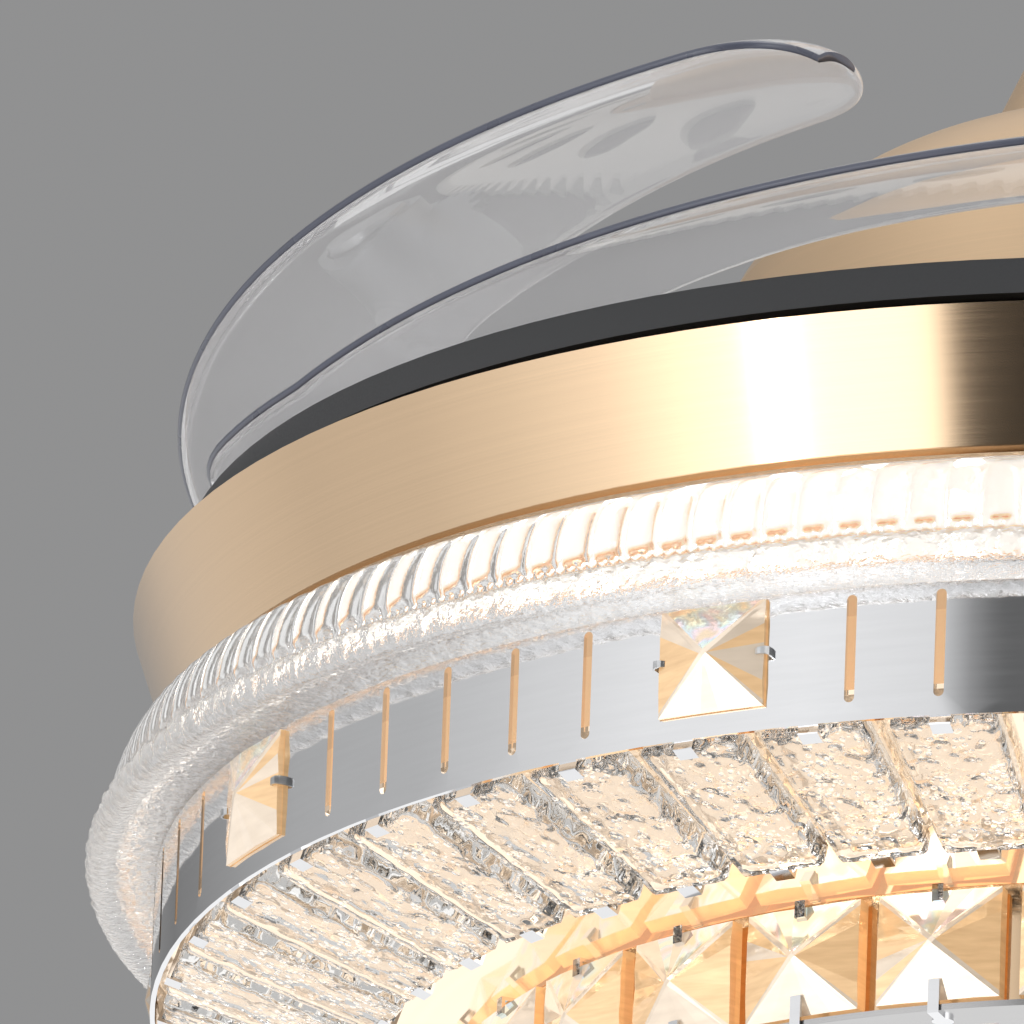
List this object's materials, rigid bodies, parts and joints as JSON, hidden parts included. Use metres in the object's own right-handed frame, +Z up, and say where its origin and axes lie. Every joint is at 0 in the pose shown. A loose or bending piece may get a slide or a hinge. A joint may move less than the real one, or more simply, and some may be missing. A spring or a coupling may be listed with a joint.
{
  "type": "chandelier ceiling fan",
  "caption": "Ceiling fan with retractable clear blades that fold over a round crystal lamp, hung on a short rod from a ceiling cup.",
  "frame": {"origin": "centre of the bracket plate on the ceiling; everything hangs below", "axes": "+Z up, along the rod and the rotor axis; the picture looks along +Y and upwards from below"},
  "size_m": [0.5327, 0.5328, 0.4583],
  "materials": {
    "gold_metal": "brushed satin gold plating, lacquered",
    "gold_paint": "satin champagne gold",
    "black_paint": "satin black",
    "zinc_steel": "zinc plated",
    "arm_steel": "black powder coat",
    "white_paint": "white powder coat",
    "chrome": "mirror chrome",
    "gold_mirror": "champagne mirror",
    "clear_plastic": "clear moulded, glossy",
    "clear_acrylic": "clear moulded, ribbed and pebbled",
    "clear_crystal": "pressed clear crystal, bubbly",
    "champagne_crystal": "cut champagne crystal",
    "opal": "opal diffuser",
    "nylon": "moulded nylon",
    "white_plastic": "moulded white plastic",
    "board": "white solder mask on aluminium",
    "led": "phosphor",
    "laminations": "bare stamped laminations",
    "copper": "enamelled winding wire",
    "magnet": "nickel plated magnets"
  },
  "bodies": {
    "ceiling": {"ceiling_bracket": "zinc_steel", "canopy": "gold_paint", "canopy_screws": "zinc_steel", "remote_receiver": "white_plastic", "terminal_block": "nylon"},
    "pendant": {"acrylic_ring": "clear_acrylic", "ball_pin": "zinc_steel", "band_clips": "chrome", "band_crystals": "champagne_crystal", "band_trim": "gold_metal", "bearing_inner_races": "zinc_steel", "brick_plate": "gold_mirror", "brick_tabs": "chrome", "chrome_band": "chrome", "crystal_bricks": "clear_crystal", "diffuser": "opal", "down_rod": "gold_paint", "gold_band": "gold_metal", "hanger_ball": "nylon", "inner_crystals": "champagne_crystal", "inner_drum": "gold_mirror", "inner_tabs": "chrome", "lamp_core": "gold_paint", "lamp_plate": "white_paint", "lamp_screws": "zinc_steel", "led_board": "board", "led_chips": "led", "led_driver": "white_plastic", "motor_shaft": "zinc_steel", "neck_cover": "gold_paint", "petal_plate": "chrome", "rod_yoke": "zinc_steel", "shaft_nut": "zinc_steel", "side_led_strip": "board", "stator_core": "laminations", "stator_windings": "copper", "yoke_pin": "zinc_steel"},
    "rotor": {"rotor_housing": "zinc_steel", "rotor_lid": "zinc_steel", "rotor_magnets": "magnet", "bearing_outer_races": "zinc_steel", "bearing_balls": "zinc_steel", "rotor_plate": "black_paint", "motor_cover": "gold_paint", "cover_screws": "zinc_steel", "pivot_pins": "zinc_steel", "return_springs": "zinc_steel"},
    "sync": {"sync_ring": "nylon"},
    "blade_body_1": {"blade_1": "clear_plastic", "blade_arm_1": "arm_steel", "blade_screws_1": "zinc_steel"},
    "blade_body_2": {"blade_2": "clear_plastic", "blade_arm_2": "arm_steel", "blade_screws_2": "zinc_steel"},
    "blade_body_3": {"blade_3": "clear_plastic", "blade_arm_3": "arm_steel", "blade_screws_3": "zinc_steel"},
    "blade_body_4": {"blade_4": "clear_plastic", "blade_arm_4": "arm_steel", "blade_screws_4": "zinc_steel"}
  },
  "joints": [
    {"name": "rod_swing", "type": "hinge", "parent": "ceiling", "child": "pendant", "pos_m": [0, 0, -0.025], "axis": [1, 0, 0], "range_deg": [-5, 5]},
    {"name": "rotor_spin", "type": "hinge", "parent": "pendant", "child": "rotor", "pos_m": [0, 0, -0.27], "axis": [0, 0, 1], "continuous": true},
    {"name": "blade_fold_1", "type": "hinge", "parent": "rotor", "child": "blade_body_1", "pos_m": [0.18919, 0.01755, -0.28], "axis": [0, 0, -1], "range_deg": [0, 150], "stiffness_Nm_per_rad": 0.05, "springref_deg": -22.92},
    {"name": "blade_fold_2", "type": "hinge", "parent": "rotor", "child": "blade_body_2", "pos_m": [-0.01755, 0.18919, -0.28], "axis": [0, 0, -1], "range_deg": [0, 150], "stiffness_Nm_per_rad": 0.05, "springref_deg": -22.92},
    {"name": "blade_fold_3", "type": "hinge", "parent": "rotor", "child": "blade_body_3", "pos_m": [-0.18919, -0.01755, -0.28], "axis": [0, 0, -1], "range_deg": [0, 150], "stiffness_Nm_per_rad": 0.05, "springref_deg": -22.92},
    {"name": "blade_fold_4", "type": "hinge", "parent": "rotor", "child": "blade_body_4", "pos_m": [0.01755, -0.18919, -0.28], "axis": [0, 0, -1], "range_deg": [0, 150], "stiffness_Nm_per_rad": 0.05, "springref_deg": -22.92},
    {"name": "sync_turn", "type": "hinge", "parent": "rotor", "child": "sync", "pos_m": [0, 0, -0.293], "axis": [0, 0, 1], "range_deg": [0, 19.7]}
  ],
  "couplings": [
    {"joint": "blade_fold_2", "follows": "blade_fold_1", "ratio": 1},
    {"joint": "blade_fold_3", "follows": "blade_fold_1", "ratio": 1},
    {"joint": "blade_fold_4", "follows": "blade_fold_1", "ratio": 1},
    {"joint": "sync_turn", "follows": "blade_fold_1", "ratio": 0.13095}
  ]
}
